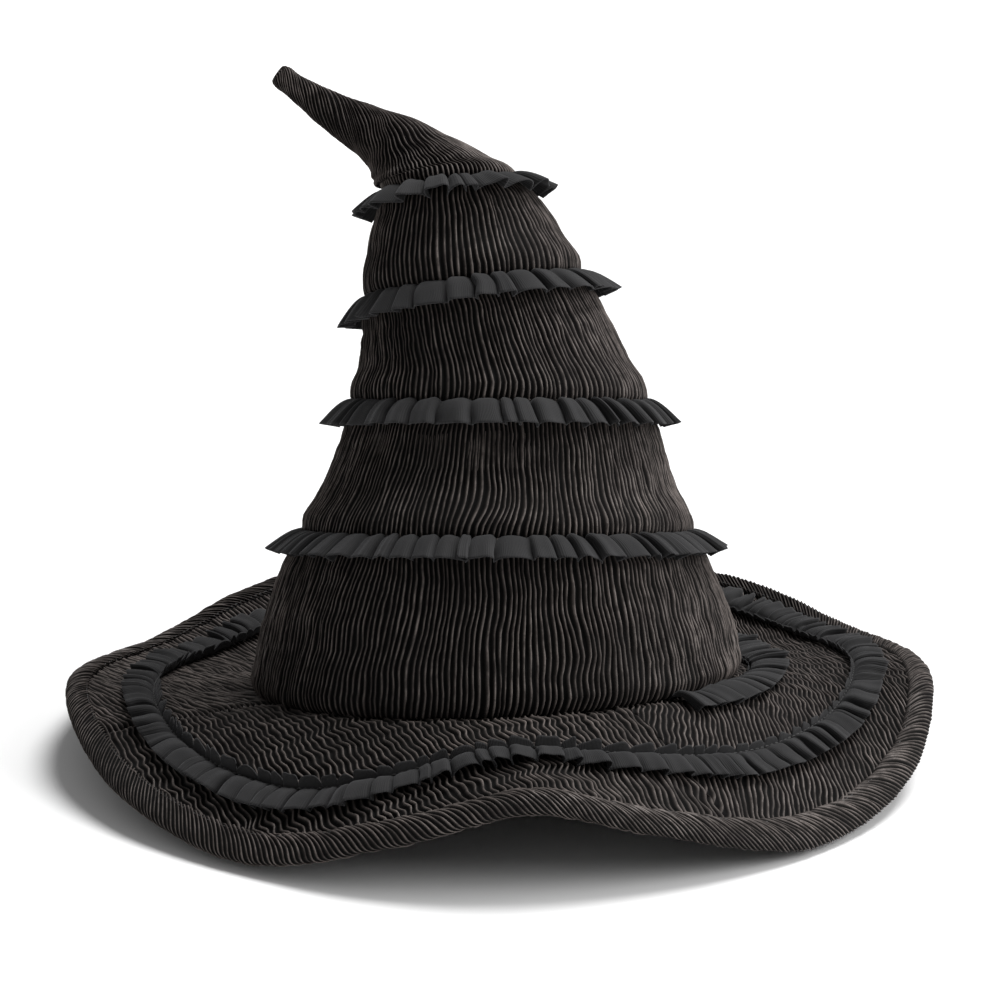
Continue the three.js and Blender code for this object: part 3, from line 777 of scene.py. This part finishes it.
# the brim ruffle's gathering stitch: angle, half width, and how much header stands inside it
BRIM_RUFFLE_WAY = [
    (-47, 106.5, 0.1), (-38, 108, 0.1), (-20, 110, 0.15), (0, 112, 0.15), (30, 115.5, 0.2), (60, 120, 0.4),
    (90, 132, 0.8), (110, 144.5, 1), (128, 153, 1), (155, 152, 1), (180, 151, 1), (200, 153, 1),
    (220, 156.5, 1), (240, 157.5, 1), (252, 154, 0.9), (262, 147, 0.8), (275, 143.5, 0.8), (295, 145.5, 0.8),
    (311, 147.5, 0.7), (328, 149.5, 0.6), (343, 152.5, 0.5), (360, 157, 0.5), (380, 159.5, 0.5),
    (425, 159.5, 0.5),
]


def brim_ruffle():
    """One long ribbon, gathered 5 mm from its inner edge and stitched to the brim on its way."""
    way = np.array(BRIM_RUFFLE_WAY, float)
    count = 4000
    spots = through(way, np.linspace(0, len(way) - 1, count))
    spot_angle = np.radians(spots[:, 0])
    flat = np.stack([spots[:, 1] * np.cos(spot_angle), spots[:, 1] * np.sin(spot_angle)], -1)
    lengths = np.concatenate([[0], np.cumsum(np.linalg.norm(np.diff(flat, axis=0), axis=1))])
    total = lengths[-1]
    folds = round(total / 8.0)
    columns = folds * COLUMNS_PER_FOLD + 1
    share = np.linspace(0, 1, columns)
    x, y, header = (np.interp(share * total, lengths, v) for v in (flat[:, 0], flat[:, 1], spots[:, 2]))
    way_on = unit(np.stack([np.gradient(x), np.gradient(y)], -1))
    outwards = np.stack([way_on[:, 1], -way_on[:, 0]], -1)
    gathers = Gathers(601, folds, False)
    turns, tall, lean, drop = (v[:, None] for v in gathers.at(share))
    header_rows, skirt_rows = 6, 12
    header_part = np.linspace(-1, 0, header_rows)[:-1]
    skirt_part = np.linspace(0, 1, skirt_rows)
    part = np.concatenate([header_part, skirt_part])[None, :]
    inner, skirt = np.clip(-part, 0, 1) * header[:, None], np.clip(part, 0, 1)
    open_up = 0.16 + 0.84 * np.maximum(inner * 0.8, skirt ** 0.8)
    rise, slide = folded(turns, tall, lean)
    length = 13 + 3.2 * ease(150, 110, np.hypot(x, y))[:, None]
    reach_out = length * skirt * (1 + 0.06 * drop + 0.03 * rise) - 2.0 * inner * (1 + 0.15 * rise)
    slide = slide * open_up + 1.8 * rumple(share[:, None] * 61, 2 * skirt, 620) * skirt
    puff = 3.0 * np.sin(np.pi * np.clip(skirt, 0, 1) ** 0.6)
    lift = (1.0 + 2.6 * inner + (rise + 2.8) * 0.95 * open_up + puff * (0.6 + 0.4 * drop)
            + 0.8 * np.clip(drop, 0, 1) * skirt)
    px = x[:, None] + outwards[:, :1] * reach_out + way_on[:, :1] * slide
    py = y[:, None] + outwards[:, 1:] * reach_out + way_on[:, 1:] * slide
    grid = brim_bend(px, py) + brim_normal(px, py) * lift[..., None]
    across = np.concatenate([-header_part, skirt_part])
    cut_length = total * FULLNESS
    return ribbon_piece("brim_ruffle_ribbon", grid, share * cut_length, across, BRIM_RIBBON_WIDTH,
                        cut_length, "brim_ruffle", False)


# ---- the brim ----------------------------------------------------------------------------------------

# how the pleats lie in each stretch of the cover: its panel, from and to angle, the way the
# pleats run, how far they fan, how deep the crimp is, and the pitch. At RUNS_ON's angles the
# pleats of two stretches run on into each other.
BRIM_STRETCHES = [
    (1, -60, 0, -90, 0.0019, 0.5, 1.85),
    (1, 0, 60, -90, 0.0019, 0.5, 1.85),
    (2, 60, 180, -50, 0.0, 0.35, 2.3),
    (3, 180, 201, -50, 0.0, 0.35, 2.3),
    (3, 201, 300, -69, 0.0, 1.0, 2.6),
]
RUNS_ON = (0, 180)
PANEL_INNER = 99
PANEL_OUTER = 182


def stretch_grid(seed, start, stop, way, fan, crimp, pitch, per_pleat, row_step, side):
    """The pleated cloth between two angles, its columns lying along the pleats."""
    run = np.radians(way)
    along_way = np.array([math.cos(run), math.sin(run)])
    across_way = np.array([-along_way[1], along_way[0]])
    start_way, stop_way = (np.array([math.cos(a), math.sin(a)]) for a in np.radians((start, stop)))
    lines = np.arange(-200, 200, pitch / per_pleat)
    samples = np.linspace(-215, 215, 431)

    def spot(line, place):
        """A point of a pleat line; the lines fan out away from the crown's middle."""
        spread = line + fan * np.sign(line) * np.maximum(np.abs(line) - 50, 0) * place
        return across_way * spread[..., None] + along_way * place[..., None]

    line_grid, place_grid = np.meshgrid(lines, samples, indexing="ij")
    flat = spot(line_grid, place_grid)
    reach = np.hypot(flat[..., 0], flat[..., 1])
    past_start = start_way[0] * flat[..., 1] - start_way[1] * flat[..., 0]
    before_stop = stop_way[1] * flat[..., 0] - stop_way[0] * flat[..., 1]
    inside = np.minimum.reduce([reach - PANEL_INNER, PANEL_OUTER - reach, past_start, before_stop])
    kept, begins, ends = [], [], []
    for k in range(len(lines)):
        hits = np.flatnonzero(inside[k] > 0)
        if len(hits) < 3:
            continue
        runs = np.split(hits, np.flatnonzero(np.diff(hits) > 1) + 1)
        best = max(runs, key=len)
        a, b = best[0], best[-1]
        if len(best) < 3 or a == 0 or b == len(samples) - 1:
            continue
        low = samples[a] - inside[k, a] / (inside[k, a] - inside[k, a - 1])
        high = samples[b] + inside[k, b] / (inside[k, b] - inside[k, b + 1])
        kept.append(lines[k])
        begins.append(low)
        ends.append(high)
    kept, begins, ends = (np.array(v)[:, None] for v in (kept, begins, ends))
    rows = max(8, round(float((ends - begins).max()) / row_step))
    place = begins + (ends - begins) * np.linspace(0, 1, rows)[None, :]
    line = np.broadcast_to(kept, place.shape)
    turns = line / pitch
    height = pleat_height(turns)
    phase = place / 12 + 0.7 * rumple(line / 30 + 50, place / 26 + 50, seed + 1)
    strong = 0.55 + 0.45 * rumple(line / 34 + 50, place / 34 + 50, seed + 2)
    kink = rumple(line / 24 + 50, place / 7 + 50, seed + 7, sharp=True)
    shift = (crimp * (1.3 * strong * zigzag(phase) + 0.8 * kink)
             + 1.3 * rumple(line / 20 + 50, place / 18 + 50, seed + 3)
             + 0.3 * rumple(turns + 90, place / 4.5 + 50, seed + 4))
    def tucked(ends_at):
        """1 where the ends of the pleats are tucked into a seam, and 0 where they run on."""
        at = spot(kept, ends_at)
        off = [np.abs(math.cos(a) * at[..., 1] - math.sin(a) * at[..., 0])
               for a in np.radians([v for v in (start, stop) if v in RUNS_ON])]
        return 1.0 - (np.minimum.reduce(off) < 0.6) if off else np.ones_like(ends_at)

    first, last = tucked(begins), tucked(ends)
    rim = np.minimum(1 - first * (1 - ease(0, 3, place - begins)), 1 - last * (1 - ease(0, 3, ends - place)))
    shift = (shift * (1 - first * (1 - ease(0, 6, place - begins)))
             * (1 - last * (1 - ease(0, 6, ends - place))))
    uneven = 0.75 + 0.35 * rumple(turns + 90, place / 8 + 50, seed + 5)
    flat = spot(line, place) + across_way * (shift + 0.28 * pitch * height)[..., None]
    x, y = flat[..., 0], flat[..., 1]
    soft = 0.7 * rumple(line / 18 + 50, place / 18 + 50, seed + 6)
    lift = 0.85 * pitch * height * uneven - 0.7 + soft - 1.8 * (1 - rim)
    if side > 0:
        grid = brim_bend(x, y) + brim_normal(x, y) * lift[..., None]
    else:
        lift = 0.7 * lift
        grid = brim_bend(x, y, BRIM_UNDERSIDE) - brim_normal(x, y) * lift[..., None]
    return grid, height * (0.7 + 0.3 * uneven)


def brim_panels(side, per_pleat, row_step):
    layer = "top" if side > 0 else "under"
    for panel in (1, 2, 3):
        grids, ridges = [], []
        for number, start, stop, way, fan, crimp, pitch in BRIM_STRETCHES:
            if number == panel:
                seed = 700 - way + (0 if side > 0 else 300)
                grid, ridge = stretch_grid(seed, start, stop, way, fan, crimp, pitch,
                                           per_pleat, row_step, side)
                if side < 0:
                    grid, ridge = grid[::-1], ridge[::-1]
                grids.append(grid)
                ridges.append(ridge)
        name = f"brim_{layer}_panel_{panel}"
        piece = grid_mesh(f"{name}_cloth", grids, size=(120, 90), fields={"ridge": ridges})
        finish_piece(piece, "crown", "pleated_cloth", CLOTH, name)


def binding_section(places):
    """Where the binding's cloth lies round the edge: half width and height above the brim."""
    start = CLOTH_EDGE - BINDING_WIDTH
    knots = np.array([
        (start - 0.2, -1.2), (start + 0.3, 0.4), (start + 2.0, 1.3), (start + 4.6, 1.7), (187.0, 1.2),
        (189.4, -0.3), (190.0, -2.6), (188.6, -4.9), (185.6, -6.2), (start + 3.4, -6.4), (start + 0.8, -5.9),
        (start - 0.2, -5.0)])
    return through(np.hstack([knots, np.zeros((len(knots), 1))]), places * (len(knots) - 1))[:, :2]


def brim_binding():
    """Pleated cloth cut on the bias and folded round the wired edge, its pleats slanting."""
    bead = 1.6
    rows = 27
    section = binding_section(np.linspace(0, 1, rows))
    path = np.concatenate([[0], np.cumsum(np.linalg.norm(np.diff(section, axis=0), axis=1))])
    girth = 2 * np.pi * BRIM_HALF_WIDTH
    pleats = round(girth / BINDING_PLEAT)
    columns = pleats * COLUMNS_PER_PLEAT
    turn = np.arange(columns)[:, None] / columns
    across = path[None, :]
    height = np.broadcast_to(pleat_height(turn * pleats), (columns, rows))
    own = rumple(turn * pleats, across / 5 + 3, 811, pleats) * 0.3
    wander = rumple(turn * 60, across / 9 + 3, 812, 60) * 1.1
    uneven = 0.8 + 0.35 * rumple(turn * pleats, across / 6 + 3, 813, pleats)
    slant = across * 1.25 + 1.5 * np.sin(across / path[-1] * 2 * np.pi)
    arc = (slant + own + wander + 0.8 * height) / BRIM_HALF_WIDTH
    angle = 2 * np.pi * turn + arc
    away = unit(np.stack([np.gradient(section[:, 1]), -np.gradient(section[:, 0])], -1))
    away = away * np.sign(away[len(away) // 2][0])
    reach_out = section[:, 0][None, :]
    pinched = ease(0, 3.2, across) * ease(0, 3.2, path[-1] - across)
    puff = 0.5 * rumple(turn * 80, across / 12 + 3, 814, 80)
    rim = 1 - 0.65 * np.exp(-(((reach_out - BRIM_HALF_WIDTH) / 3.0) ** 2))
    lift = (bead * height * uneven - 0.6 + puff) * pinched * rim
    reach = reach_out + away[:, 0][None, :] * lift
    level = section[:, 1][None, :] + away[:, 1][None, :] * lift
    grid = brim_bend(reach * np.cos(angle), reach * np.sin(angle), level)
    # the ridge value drops towards the binding's pinched edges, so the painted fold shade darkens the colour
    # there
    ridge = height * (0.7 + 0.3 * uneven) * (0.4 + 0.6 * pinched)
    piece = grid_mesh("brim_binding_cloth", [grid[:, ::-1]], ring=True, size=(girth, 26),
                      fields={"ridge": [ridge[:, ::-1]]})
    return finish_piece(piece, "crown", "pleated_cloth", CLOTH, "brim_binding")


# ---- stitching ---------------------------------------------------------------------------------------


def stitches(name, places, directions, normals, length, thick):
    """A row of short round stitches, each a small bead of thread."""
    sides, rings = 6, 5
    angle = 2 * np.pi * np.arange(sides) / sides
    profile = [(-0.5, 0.25), (-0.38, 0.8), (0.0, 1.0), (0.38, 0.8), (0.5, 0.25)]
    grids = []
    binormal = np.cross(directions, normals)
    for share, wide in profile:
        centre = places + directions * share * length - normals * (share * 2) ** 2 * thick * 0.7
        ring = (centre[:, None] + (np.cos(angle)[None, :, None] * normals[:, None]
                + np.sin(angle)[None, :, None] * binormal[:, None]) * thick * 0.5 * wide)
        grids.append(ring)
    beads = np.stack(grids, 2)
    points = beads.reshape(-1, 3) * MM
    count = len(places)
    quads = []
    for k in range(sides):
        k2 = (k + 1) % sides
        for r in range(rings - 1):
            quads.append((k * rings + r, k2 * rings + r, k2 * rings + r + 1, k * rings + r + 1))
    base = (np.arange(count) * sides * rings)[:, None, None]
    faces = (base + np.array(quads)[None]).reshape(-1, 4).tolist()
    first = [k * rings for k in range(sides)][::-1]
    last = [k * rings + rings - 1 for k in range(sides)]
    for b in base[:, 0, 0]:
        faces.append([int(b) + v for v in first])
        faces.append([int(b) + v for v in last])
    mesh = bpy.data.meshes.new(name)
    mesh.from_pydata(points.tolist(), [], faces)
    mesh.polygons.foreach_set("use_smooth", np.ones(len(mesh.polygons), bool))
    piece = bpy.data.objects.new(name, mesh)
    bpy.context.scene.collection.objects.link(piece)
    piece.data.materials.append(THREAD)
    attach(piece, "crown")
    return piece


def stitch_line(name, x, y, lift, gap, length, thick):
    """Stitches along a closed or open line on the brim."""
    path = brim_bend(x, y)
    lengths = np.concatenate([[0], np.cumsum(np.linalg.norm(np.diff(path, axis=0), axis=1))])
    at = np.arange(0, lengths[-1], gap)
    sx, sy = np.interp(at, lengths, x), np.interp(at, lengths, y)
    normals = brim_normal(sx, sy)
    places = brim_bend(sx, sy) + normals * lift
    directions = unit(np.gradient(places, axis=0))
    return stitches(name, places, directions, normals, length, thick)


def binding_topstitch():
    angle = np.linspace(0, 2 * np.pi, 1200)
    reach = CLOTH_EDGE - BINDING_WIDTH + 1.6
    return stitch_line("binding_topstitch", reach * np.cos(angle), reach * np.sin(angle),
                       1.15, 3.0, 2.3, 0.45)


def ruffle_stitch():
    way = np.array(BRIM_RUFFLE_WAY, float)
    spots = through(way, np.linspace(5, len(way) - 1, 3000))
    angle = np.radians(spots[:, 0])
    return stitch_line("ruffle_stitch", spots[:, 1] * np.cos(angle), spots[:, 1] * np.sin(angle),
                       2.3, 3.2, 2.4, 0.5)


# ---- the inside --------------------------------------------------------------------------------------


def buckram_half_width(along):
    first = axis.along[1]
    outer = lambda s: axis.half_width(s) - 2 - 0.35
    straight = 92.2 + (outer(np.array(first)) - 92.2) * along / first
    return np.where(along >= first, outer(along), straight)


def crown_lining():
    """A cone of lining with four seams and soft puckers, closed at its top."""
    columns, top = 288, axis.along[TIERS] - 12
    along = np.concatenate([np.linspace(-3.4, top, 60), [top + 0.2] * 3])
    turn = np.arange(columns)[:, None] / columns
    tall = np.broadcast_to(along[None, :], (columns, len(along)))
    reach = buckram_half_width(np.maximum(tall, 0)) - 1.2 - 0.35 - 0.9
    seam = np.abs(((turn * 4) % 1) - 0.5) * 2
    tuck = 0.9 * ease(0.955, 1.0, seam)
    pucker = 0.5 * rumple(turn * 48, tall / 11 + 5, 901, 48) + 0.5 * rumple(turn * 11, tall / 34 + 5, 902, 11)
    reach = reach - 0.3 - np.abs(pucker) - tuck
    reach[:, -3:] *= np.array([0.7, 0.35, 0.02])[None, :]
    grid = axis.ring(2 * np.pi * turn, reach, tall)
    piece = grid_mesh("crown_lining_cloth", [grid[:, ::-1]], ring=True, size=(500, 220))
    return finish_piece(piece, "crown", "lining", LINING, "crown_lining")


def sweatband():
    """A ribbed band sewn into the opening, its upper edge free and slightly wavy."""
    columns = 720
    turn = np.arange(columns)[:, None] / columns
    low, high = BRIM_UNDERSIDE, BRIM_UNDERSIDE + 27
    rows = [(low + 0.5, 1.2), (low, 0.5), (low + 0.5, -0.1)]
    rows += [(along, 0.0) for along in np.linspace(low + 2, high - 2, 12)]
    rows += [(high - 0.5, 0.1), (high, 0.5), (high - 0.5, 1.1), (low + 4, 1.2)]
    along = np.array([r[0] for r in rows])[None, :]
    inset = np.array([r[1] for r in rows])[None, :]
    free = ease(low + 10, high, along)
    wavy = 0.35 * rumple(turn * 26, along / 20 + 3, 911, 26) * free
    base = buckram_half_width(np.maximum(along, 0)) - 1.2 - 0.35 - 0.8 - 0.35 - 1.5
    reach = base + inset - 0.2 - np.abs(wavy) * 2
    grid = axis.ring(2 * np.pi * turn, reach, np.broadcast_to(along, reach.shape))
    girth = 2 * np.pi * 92
    fields = {"along": [np.broadcast_to(turn * girth, reach.shape)],
              "across": [np.broadcast_to(np.clip((along - low) / 27, 0, 1), reach.shape)]}
    piece = grid_mesh("sweatband_ribbon", [grid[:, ::-1]], ring=True, tube=True, size=(girth, 54),
                      fields={k: [v[0][:, ::-1]] for k, v in fields.items()})
    return finish_piece(piece, "crown", "ribbon", BAND, "sweatband")


# ---- the stage ---------------------------------------------------------------------------------------


def plain_floor(level):
    half = 6.0
    mesh = bpy.data.meshes.new("floor")
    mesh.from_pydata([(-half, -half, level), (half, -half, level), (half, half, level), (-half, half, level)],
                     [], [(0, 1, 2, 3)])
    floor = bpy.data.objects.new("floor", mesh)
    bpy.context.scene.collection.objects.link(floor)
    f = Finish("pale floor")
    grain = f.noise(6.0, 2.0)
    mesh.materials.append(f.surface(f.mix(grain, (0.88, 0.88, 0.88), (0.9, 0.9, 0.9)), 0.9))
    floor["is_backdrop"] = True


def sun(name, azimuth, elevation, strength, softness, colour=(1, 1, 1)):
    """A soft distant light; azimuth 0 comes from the front and 90 from the wearer's left."""
    light = bpy.data.lights.new(name, "SUN")
    light.energy, light.angle, light.color = strength, math.radians(softness), colour
    lamp = bpy.data.objects.new(name, light)
    a, e = math.radians(azimuth), math.radians(elevation)
    towards = Vector((math.sin(a) * math.cos(e), -math.cos(a) * math.cos(e), math.sin(e)))
    lamp.rotation_euler = towards.to_track_quat("Z", "Y").to_euler()
    bpy.context.scene.collection.objects.link(lamp)


def studio():
    scene = bpy.context.scene
    scene.view_settings.view_transform = "Standard"
    world = bpy.data.worlds.new("studio")
    world.use_nodes = True
    scene.world = world
    nodes, links = world.node_tree.nodes, world.node_tree.links
    nodes.clear()
    fill, out = nodes.new("ShaderNodeBackground"), nodes.new("ShaderNodeOutputWorld")
    fill.inputs["Color"].default_value = (1, 1, 1, 1)
    fill.inputs["Strength"].default_value = 0.27
    links.new(fill.outputs[0], out.inputs[0])
    sun("overhead softbox", 128, 64, 3.2, 30)
    sun("right softbox", 80, 28, 2.4, 40)
    sun("front fill", -12, 22, 0.15, 60)


def camera():
    """At the front, 15 degrees above level, with a long lens."""
    data = bpy.data.cameras.new("camera")
    data.lens, data.sensor_width = 125.3, 36.0
    data.clip_end = 50
    eye = bpy.data.objects.new("camera", data)
    distance, elevation = 1.5, math.radians(15)
    look_at = Vector((-0.0004, 0, 0.0851))
    back = Vector((0, -math.cos(elevation), math.sin(elevation)))
    eye.location = look_at + back * distance
    eye.rotation_euler = back.to_track_quat("Z", "Y").to_euler()
    bpy.context.scene.collection.objects.link(eye)
    bpy.context.scene.camera = eye


# ---- the hat -----------------------------------------------------------------------------------------

for node, material in (("crown_stiffener", BUCKRAM), ("brim_stiffener", BUCKRAM), ("brim_wire", WIRE)):
    frame["nodes"][node].data.materials.clear()
    frame["nodes"][node].data.materials.append(material)

camera()
studio()
foot_wall()
for tier in range(1, TIERS):
    tier_wall(tier)
for piece in (horn_cover(), horn_filling()):
    bend_at_joint(piece)
for seam in range(1, TIERS + 1):
    crown_ruffle(seam)
brim_panels(1, COLUMNS_PER_PLEAT, 2.0)
brim_panels(-1, 4, 3.0)
brim_binding()
brim_ruffle()
binding_topstitch()
ruffle_stitch()
crown_lining()
sweatband()
plain_floor(min(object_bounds()[0][2], cad_box[0][2]) - 0.0002)
